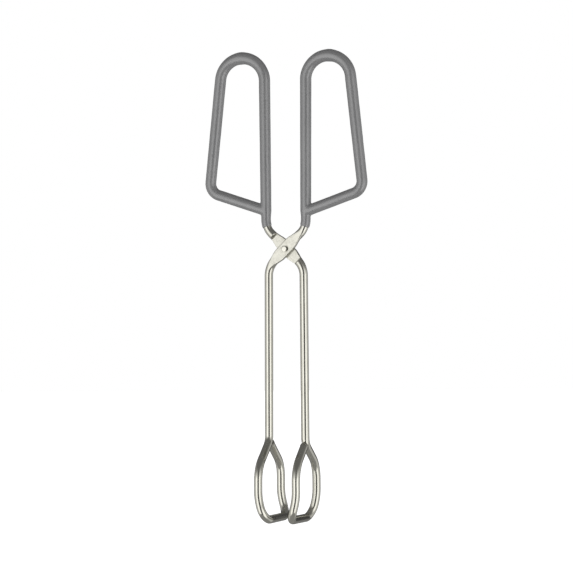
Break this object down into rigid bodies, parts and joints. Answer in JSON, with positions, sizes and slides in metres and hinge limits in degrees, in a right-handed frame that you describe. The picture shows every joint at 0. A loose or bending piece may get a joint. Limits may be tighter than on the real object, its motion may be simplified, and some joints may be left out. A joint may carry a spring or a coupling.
{
  "type": "jar lifter",
  "caption": "Scissor-action wire jar lifter: crossed arms on a pivot rivet, vinyl-dipped finger loops above, and open wire jaw loops that curl towards each other below.",
  "frame": {"origin": "centre of the pivot rivet, midway between the two flattened plates", "axes": "+Z along the tool, from the pivot to the handles; Y along the rivet, with its small head facing -Y; X across the tool, in the plane that the arms swing in"},
  "size_m": [0.1104, 0.0458, 0.303],
  "materials": {
    "nickel_wire": "bright nickel plating on drawn steel wire, satin on the pressed plates",
    "grey_vinyl": "smooth satin dip coating",
    "weld_metal": "plated weld, slightly rough",
    "rivet_metal": "bright nickel plating"
  },
  "bodies": {
    "front_arm": {"front_arm_wire": "nickel_wire", "front_grip": "grey_vinyl", "front_handle_weld": "weld_metal", "front_jaw_weld": "weld_metal", "pivot_rivet": "rivet_metal"},
    "back_arm": {"back_arm_wire": "nickel_wire", "back_grip": "grey_vinyl", "back_handle_weld": "weld_metal", "back_jaw_weld": "weld_metal"}
  },
  "joints": [
    {"name": "pivot_hinge", "type": "hinge", "parent": "front_arm", "child": "back_arm", "pos_m": [0, 0, 0], "axis": [0, -1, 0], "range_deg": [-3.3, 50]}
  ]
}
